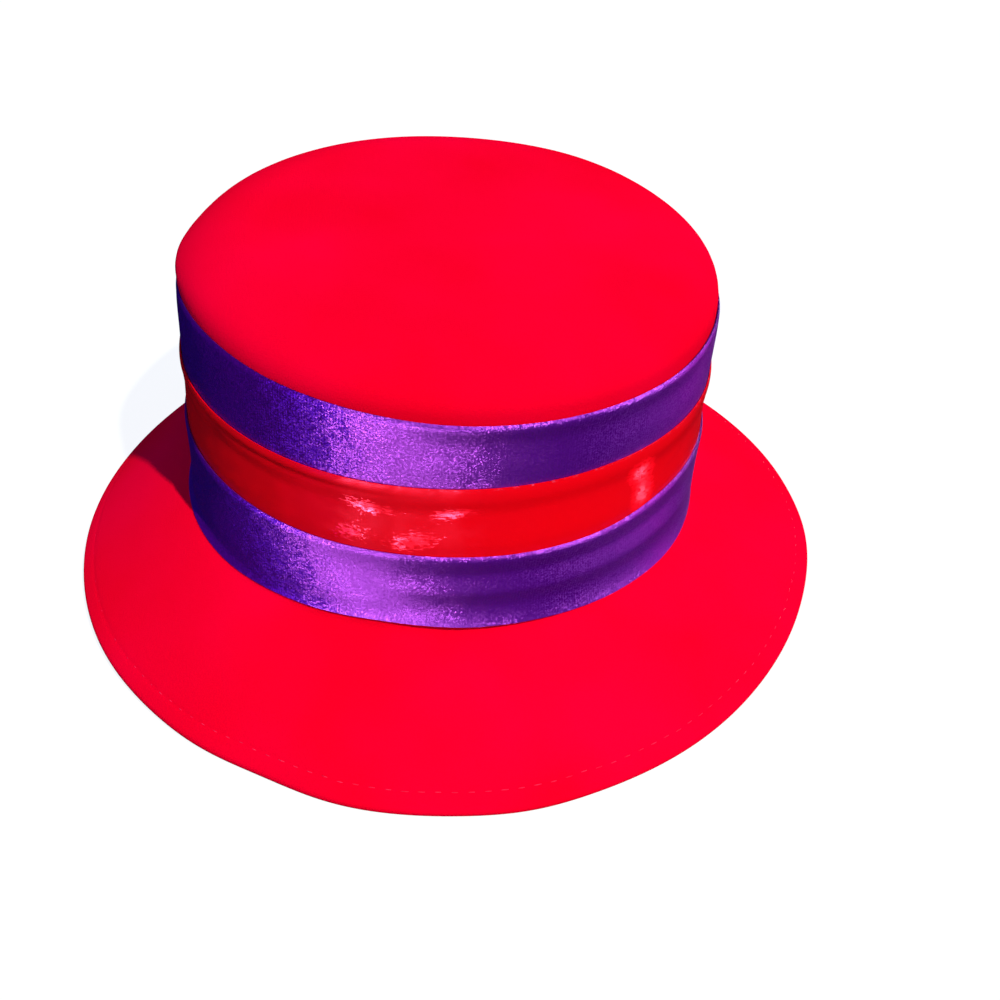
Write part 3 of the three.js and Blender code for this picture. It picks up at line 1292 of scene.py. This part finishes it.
@dataclass
class Studio:
    """Camera, floor and light."""

    camera_place: tuple[float, float, float] = (0.00128, -0.37928, 0.3083)
    pitch: float = 0.66893
    yaw: float = 0.04945
    roll: float = 0.016796
    lens: float = 44.6
    sensor: float = 36.0
    lamps: tuple[Lamp, ...] = (
        Lamp("key_light", 34.0, 50.0, 4.3, 1.3, on_matt=True, in_gloss=False),
        Lamp("key_shine", 34.0, 50.0, 1.2, 3.0),
        Lamp("left_fill", -45.0, 4.0, 0.3, 20.0, on_matt=True, in_gloss=False),
        Lamp("sky_shine", -50.0, 8.0, 0.8, 25.0, colour=(0.15, 0.05, 1.0)),
        Lamp("left_shine", -33.0, 1.5, 1.65, 1.5),
        Lamp("middle_shine", -15.0, 1.5, 1.05, 1.5),
        Lamp("front_shine", 1.0, 1.5, 1.0, 1.5),
        Lamp("right_shine", 89.0, 30.0, 1.1, 1.5),
        Lamp("side_shine", 112.0, 3.0, 0.7, 40.0, colour=(1.0, 0.25, 0.72)),
        Lamp("back_light", 148.0, 5.0, 1.0, 15.0, on_matt=True),
    )
    sky: Colour = (0.15, 0.4, 1.4, 1.0)
    backdrop: Colour = (1.0, 1.0, 1.0, 1.0)
    floor_size: float = 8.0
    floor_colour: Colour = (0.1, 0.1, 0.07, 1.0)
    floor_roughness: float = 0.9
    floor_glow: float = 0.9

    def build_camera(self) -> None:
        """The camera at the photograph's place."""
        flat, fall = math.cos(self.pitch), math.sin(self.pitch)
        ahead = Vector((math.sin(self.yaw) * flat, math.cos(self.yaw) * flat, -fall))
        right = Vector((math.cos(self.yaw), -math.sin(self.yaw), 0.0))
        top = right.cross(ahead)
        rolled_right = right * math.cos(self.roll) + top * math.sin(self.roll)
        rolled_top = top * math.cos(self.roll) - right * math.sin(self.roll)
        turn = Matrix((rolled_right, rolled_top, -ahead)).transposed()
        bpy.ops.object.camera_add(location=self.camera_place, rotation=turn.to_euler())
        camera = bpy.context.object
        camera.data.lens = self.lens
        camera.data.sensor_width = self.sensor
        bpy.context.scene.camera = camera

    @staticmethod
    def build_lamp(lamp: Lamp) -> None:
        """One distant light."""
        bearing, height = math.radians(lamp.bearing), math.radians(lamp.height)
        flat = math.cos(height)
        towards = Vector((flat * math.sin(bearing), -flat * math.cos(bearing), math.sin(height)))
        turn = towards.to_track_quat("Z", "Y").to_euler()
        bpy.ops.object.light_add(type="SUN", location=towards, rotation=turn)
        light = bpy.context.object
        light.name = lamp.name
        light.visible_diffuse = lamp.on_matt
        light.visible_glossy = lamp.in_gloss
        light.data.energy = lamp.strength
        light.data.color = lamp.colour
        light.data.angle = math.radians(lamp.softness)

    def build_light(self) -> None:
        """The lamps and a bluish sky, which shows white to the camera."""
        for lamp in self.lamps:
            self.build_lamp(lamp)
        world = bpy.data.worlds.new("sky_light")
        world.use_nodes = True
        bench = NodeBench(world.node_tree)
        background = world.node_tree.nodes["Background"]
        bench.join(background.inputs["Color"], bench.mixed(bench.camera_ray(), self.sky, self.backdrop))
        world.cycles_visibility.glossy = False
        bpy.context.scene.world = world
        bpy.context.scene.view_settings.view_transform = "Standard"

    def build_floor(self) -> None:
        """The floor that the hat stands on, white to the camera and dark to the hat."""
        start_piece()
        bpy.ops.mesh.primitive_plane_add(size=self.floor_size)
        floor = bpy.context.object
        floor.name = "floor"
        floor.visible_glossy = False
        material, bench, shader = new_material("pale_floor")
        values = {
            "Base Color": self.floor_colour,
            "Roughness": self.floor_roughness,
            "Specular IOR Level": 0.0,
            "Emission Color": self.backdrop,
        }
        set_sockets(shader, values)
        glow = bench.math("MULTIPLY", bench.camera_ray(), self.floor_glow)
        bench.join(shader.inputs["Emission Strength"], glow)
        floor.data.materials.append(material)

    def build(self) -> None:
        """Camera, floor and light in order."""
        start_piece()
        self.build_camera()
        self.build_floor()
        self.build_light()
        log.info("studio ready")


def ribbon_rows(block: HatBlock) -> tuple[SatinRibbon, ...]:
    """The three ribbons, from the brim up."""
    lower = SatinRibbon(
        block=block,
        node=Node.LOWER,
        finish=LOW_PURPLE_SATIN,
        lower_edge=0.0,
        plain=knots(
            (0.0, 0.75), (0.04, 0.6), (0.3, 0.65), (0.5, 0.72), (0.65, 0.85), (0.76, 1.03), (0.82, 1.16),
            (0.88, 1.33), (0.955, 1.45), (1.0, 1.15),
        ),
        folded=knots(
            (0.0, 2.3), (0.06, 1.55), (0.14, 0.85), (0.25, 0.5), (0.36, 1.0), (0.48, 1.75), (0.6, 1.2),
            (0.72, 0.6), (0.82, 1.25), (0.93, 1.95), (0.965, 1.95), (1.0, 1.1),
        ),
        span=Span(-17.0, 6.0, 45.0, 75.0),
        ripples=(Ripple(180.0, 10.0, 0.95, 0.2, 0.0, 0.7 * MM),),
        crumples=(Ripple(-17.0, 8.0, 0.5, 0.6, -15.0, 0.25),),
        lower_shift=knots(
            (-180.0, 0.0), (-130.0, 0.0), (-85.0, -3.0), (-65.0, -3.6), (-48.0, -3.2),
            (-36.0, -2.0), (-26.0, -0.8), (-10.0, 1.5), (16.0, 1.8), (36.0, 0.9),
            (48.0, 0.8), (65.0, -0.4), (85.0, -1.5), (140.0, 0.0), (180.0, 0.0),
        ),
        upper_shift=knots(
            (-180.0, -0.8), (-90.0, -0.8), (-36.0, -1.4), (0.0, -0.6), (16.0, -0.9), (34.0, -0.4),
            (48.0, 1.4), (65.0, 2.0), (85.0, 1.4), (140.0, -0.6), (180.0, -0.8),
        ),
        seam_bearing=178.0,
    )
    middle = SatinRibbon(
        block=block,
        node=Node.MIDDLE,
        finish=RED_SATIN,
        lower_edge=24.7 * MM,
        plain=knots(
            (0.0, 0.75), (0.04, 0.6), (0.3, 0.75), (0.58, 0.7), (0.7, 0.75), (0.76, 1.0), (0.81, 1.15),
            (0.87, 1.2), (0.91, 1.6), (0.95, 1.65), (1.0, 1.45),
        ),
        folded=knots(
            (0.0, 0.75), (0.04, 0.6), (0.3, 0.85), (0.58, 0.75), (0.7, 0.8), (0.76, 1.05),
            (0.83, 1.45), (0.955, 1.55), (1.0, 1.4),
        ),
        span=Span(-30.0, 0.0, 55.0, 85.0),
        ripples=(Ripple(180.0, 10.0, 0.95, 0.25, 0.0, 0.7 * MM),),
        crumples=(
            Ripple(-15.5, 7.0, 0.7, 0.13, -20.0, 1.0),
            Ripple(-19.5, 4.5, 0.32, 0.2, 10.0, 0.9),
            Ripple(1.0, 6.0, 0.7, 0.11, 20.0, 1.0),
            Ripple(-6.5, 7.0, 0.32, 0.2, 15.0, 1.0),
            Ripple(41.0, 3.8, 0.72, 0.14, 0.0, 2.4),
            Ripple(42.5, 3.4, 0.36, 0.24, 0.0, 2.4),
        ),
        upper_shift=knots(
            (-180.0, -0.8), (-40.0, -0.8), (-5.0, 0.0), (55.0, 0.0), (90.0, -0.6), (180.0, -0.8),
        ),
        seam_bearing=182.0,
    )
    upper = SatinRibbon(
        block=block,
        node=Node.UPPER,
        finish=PURPLE_SATIN,
        lower_edge=47.8 * MM,
        plain=knots((0.0, 0.6), (0.05, 0.65), (0.5, 1.0), (0.9, 1.1), (0.96, 1.0), (1.0, 0.55)),
        folded=knots(
            (0.0, 0.6), (0.25, 0.75), (0.5, 0.95), (0.66, 0.75), (0.78, 0.85), (0.86, 1.3), (0.93, 1.75),
            (0.965, 1.75), (1.0, 1.0),
        ),
        span=Span(-15.0, 4.0, 45.0, 75.0),
        upper_shift=knots(
            (-180.0, 0.0), (-100.0, -0.4), (-80.0, 0.3), (-65.0, 1.2), (-56.0, 1.5),
            (-36.0, 0.8), (-26.0, 0.4), (-7.0, -0.8), (11.0, -1.5), (31.0, -2.0),
            (48.0, -2.0), (65.0, -1.5), (85.0, -1.6), (140.0, 0.0), (180.0, 0.0),
        ),
        seam_bearing=179.0,
    )
    return lower, middle, upper


def main() -> None:
    """Builds the studio and the hat, piece by piece."""
    logging.basicConfig(level=logging.INFO, format="%(message)s")
    block = HatBlock.from_frame()
    Studio().build()
    FeltBody(block, FeltFinish()).build()
    for ribbon in ribbon_rows(block):
        ribbon.build()
    HemStitching(block, ThreadFinish()).build()


if __name__ == "__main__":
    main()
